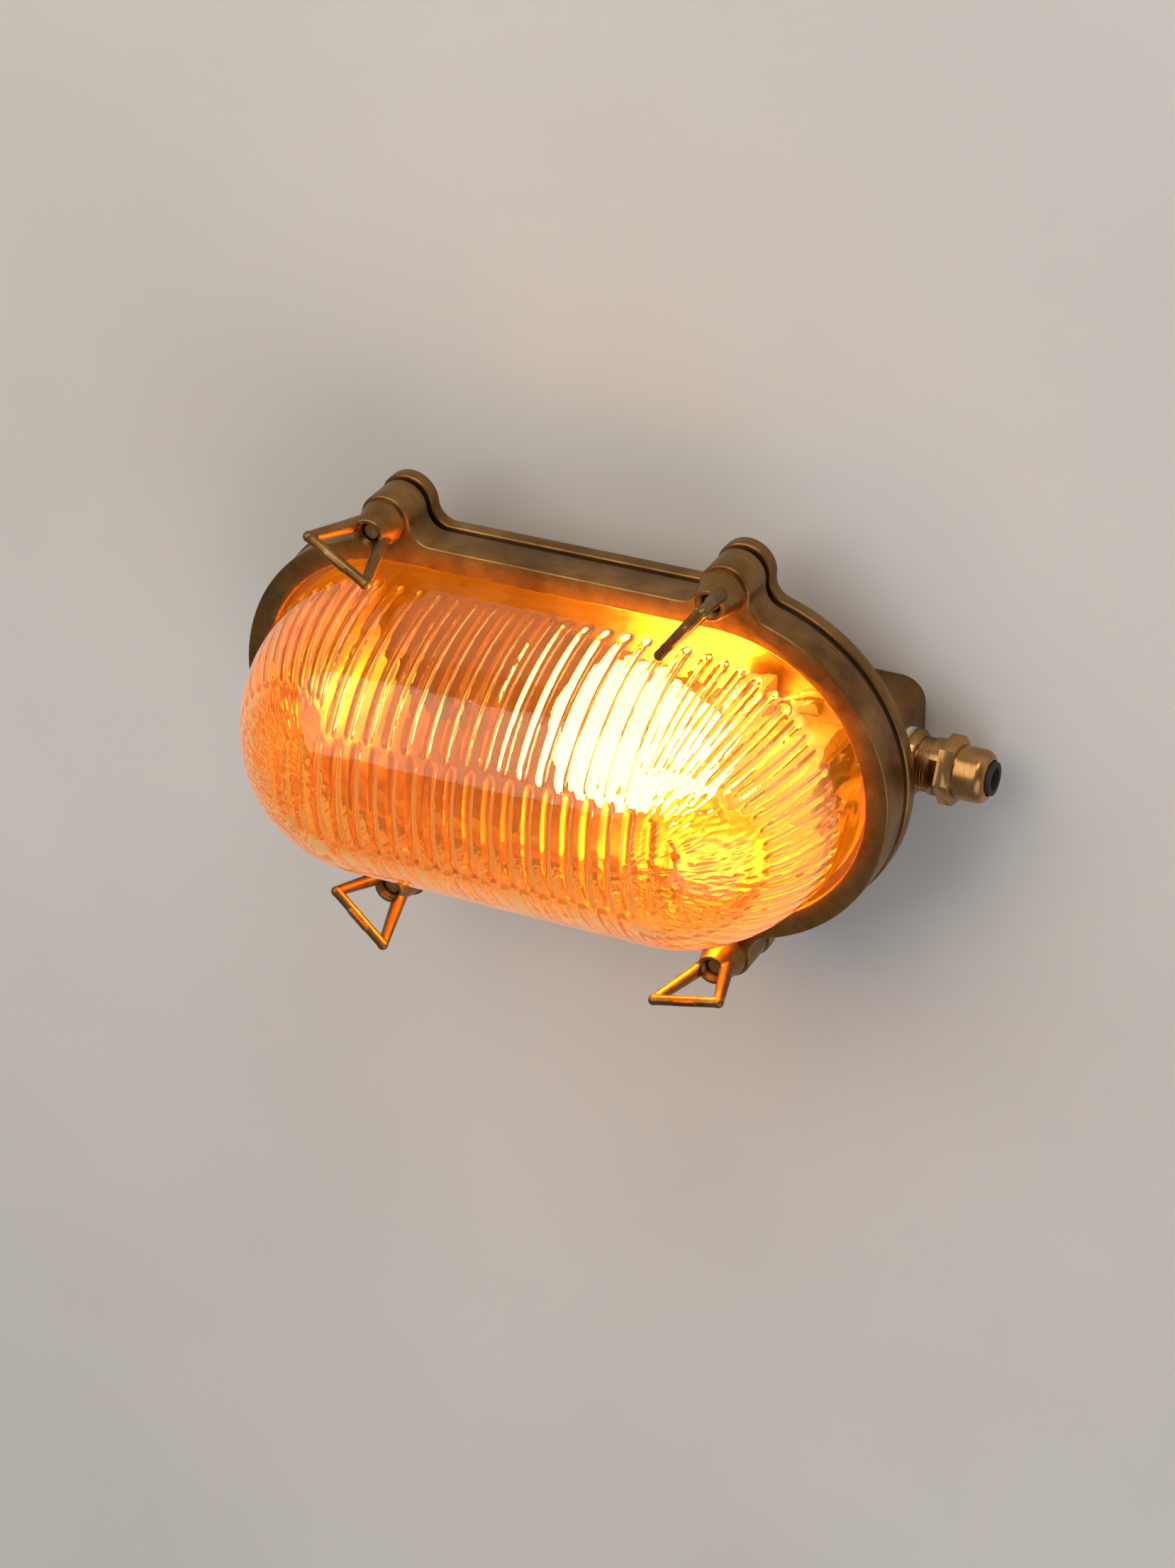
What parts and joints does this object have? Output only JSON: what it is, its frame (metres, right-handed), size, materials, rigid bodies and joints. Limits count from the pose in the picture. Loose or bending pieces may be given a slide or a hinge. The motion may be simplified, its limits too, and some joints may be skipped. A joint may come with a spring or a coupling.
{
  "type": "bulkhead lantern",
  "caption": "Oval cast brass bulkhead lantern with ribbed glass held by wing nuts on studs, a side cable gland and a screw-in bulb inside.",
  "frame": {"origin": "centre of the oval on the flat back face that meets the wall", "axes": "+Z out of the wall towards the glass, +X along the oval towards the cable gland, +Y across"},
  "size_m": [0.3078, 0.1866, 0.14],
  "materials": {
    "cast_brass": "sand-cast brass, fettled and brushed, gone brown with age",
    "turned_brass": "turned brass, satin with fine lathe lines",
    "sheet_brass": "rolled brass sheet, bright",
    "pressed_glass": "clear pressed glass, ribbed inside, smooth outside",
    "black_rubber": "black nitrile rubber, matte",
    "white_nylon": "white nylon, slightly yellowed",
    "black_nylon": "black nylon",
    "zinc_steel": "zinc plated steel",
    "porcelain": "white glazed porcelain",
    "brown_sleeve": "pale brown silicone sleeve",
    "blue_sleeve": "pale blue silicone sleeve",
    "green_sleeve": "pale green silicone sleeve",
    "bulb_glass": "thin blown glass, frosted inside",
    "hot_tungsten": "tungsten wire, glowing",
    "aluminium_cap": "rolled aluminium",
    "black_glass": "black vitrite glass",
    "solder": "tin solder"
  },
  "bodies": {
    "housing": {"back_body": "cast_brass", "studs": "turned_brass", "body_gasket": "black_rubber", "gland_washer": "white_nylon", "gland_body": "turned_brass", "gland_seal": "black_rubber", "lampholder_bracket": "zinc_steel", "bracket_screws": "zinc_steel", "lampholder_body": "porcelain", "lampholder_shell": "sheet_brass", "centre_contact": "sheet_brass", "lampholder_screws": "zinc_steel", "terminal_block": "porcelain", "terminal_clamps": "sheet_brass", "terminal_screws": "zinc_steel", "block_screw": "zinc_steel", "earth_screw": "turned_brass", "earth_washer": "turned_brass", "live_lead": "brown_sleeve", "neutral_lead": "blue_sleeve", "earth_lead": "green_sleeve"},
    "front": {"front_ring": "cast_brass", "glass_gasket": "black_rubber", "glass_dome": "pressed_glass"},
    "washer_upper_left": {"washer_upper_left": "turned_brass"},
    "nut_upper_left": {"wing_nut_upper_left": "cast_brass"},
    "washer_lower_left": {"washer_lower_left": "turned_brass"},
    "nut_lower_left": {"wing_nut_lower_left": "cast_brass"},
    "washer_lower_right": {"washer_lower_right": "turned_brass"},
    "nut_lower_right": {"wing_nut_lower_right": "cast_brass"},
    "washer_upper_right": {"washer_upper_right": "turned_brass"},
    "nut_upper_right": {"wing_nut_upper_right": "cast_brass"},
    "gland_ring": {"gland_clamp_ring": "black_nylon"},
    "gland_nut": {"gland_nut": "turned_brass"},
    "bulb_contact": {"bulb_tip": "solder"},
    "bulb": {"bulb_glass": "bulb_glass", "bulb_stem": "bulb_glass", "bulb_filament": "hot_tungsten", "bulb_cap": "aluminium_cap", "bulb_insulator": "black_glass"}
  },
  "joints": [
    {"name": "front_lift", "type": "slide", "parent": "housing", "child": "front", "axis": [0, 0, 1], "range_m": [0, 0.12]},
    {"name": "washer_rise_upper_left", "type": "slide", "parent": "front", "child": "washer_upper_left", "axis": [0, 0, 1], "range_m": [0, 0.01]},
    {"name": "nut_turn_upper_left", "type": "hinge", "parent": "washer_upper_left", "child": "nut_upper_left", "pos_m": [-0.0723, 0.0805, 0.0624], "axis": [0, 0, 1], "range_deg": [0, 2880]},
    {"name": "washer_rise_lower_left", "type": "slide", "parent": "front", "child": "washer_lower_left", "axis": [0, 0, 1], "range_m": [0, 0.01]},
    {"name": "nut_turn_lower_left", "type": "hinge", "parent": "washer_lower_left", "child": "nut_lower_left", "pos_m": [-0.0723, -0.0805, 0.0624], "axis": [0, 0, 1], "range_deg": [0, 2880]},
    {"name": "washer_rise_lower_right", "type": "slide", "parent": "front", "child": "washer_lower_right", "axis": [0, 0, 1], "range_m": [0, 0.01]},
    {"name": "nut_turn_lower_right", "type": "hinge", "parent": "washer_lower_right", "child": "nut_lower_right", "pos_m": [0.0723, -0.0805, 0.0624], "axis": [0, 0, 1], "range_deg": [0, 2880]},
    {"name": "washer_rise_upper_right", "type": "slide", "parent": "front", "child": "washer_upper_right", "axis": [0, 0, 1], "range_m": [0, 0.01]},
    {"name": "nut_turn_upper_right", "type": "hinge", "parent": "washer_upper_right", "child": "nut_upper_right", "pos_m": [0.0723, 0.0805, 0.0624], "axis": [0, 0, 1], "range_deg": [0, 2880]},
    {"name": "gland_ring_slide", "type": "slide", "parent": "housing", "child": "gland_ring", "axis": [1, 0, 0], "range_m": [0, 0.006]},
    {"name": "gland_nut_turn", "type": "hinge", "parent": "gland_ring", "child": "gland_nut", "pos_m": [0.15, 0, 0.02], "axis": [1, 0, 0], "range_deg": [0, 1440]},
    {"name": "bulb_draw", "type": "slide", "parent": "housing", "child": "bulb_contact", "axis": [-1, 0, 0], "range_m": [0, 0.0218]},
    {"name": "bulb_turn", "type": "hinge", "parent": "bulb_contact", "child": "bulb", "pos_m": [0.09, 0, 0.048], "axis": [-1, 0, 0], "range_deg": [0, 2160]}
  ],
  "couplings": [
    {"joint": "washer_rise_upper_left", "follows": "nut_turn_upper_left", "m_per_rad": 0.00019894},
    {"joint": "washer_rise_lower_left", "follows": "nut_turn_lower_left", "m_per_rad": 0.00019894},
    {"joint": "washer_rise_lower_right", "follows": "nut_turn_lower_right", "m_per_rad": 0.00019894},
    {"joint": "washer_rise_upper_right", "follows": "nut_turn_upper_right", "m_per_rad": 0.00019894},
    {"joint": "gland_ring_slide", "follows": "gland_nut_turn", "m_per_rad": 0.00023873},
    {"joint": "bulb_draw", "follows": "bulb_turn", "m_per_rad": 0.00057757}
  ]
}
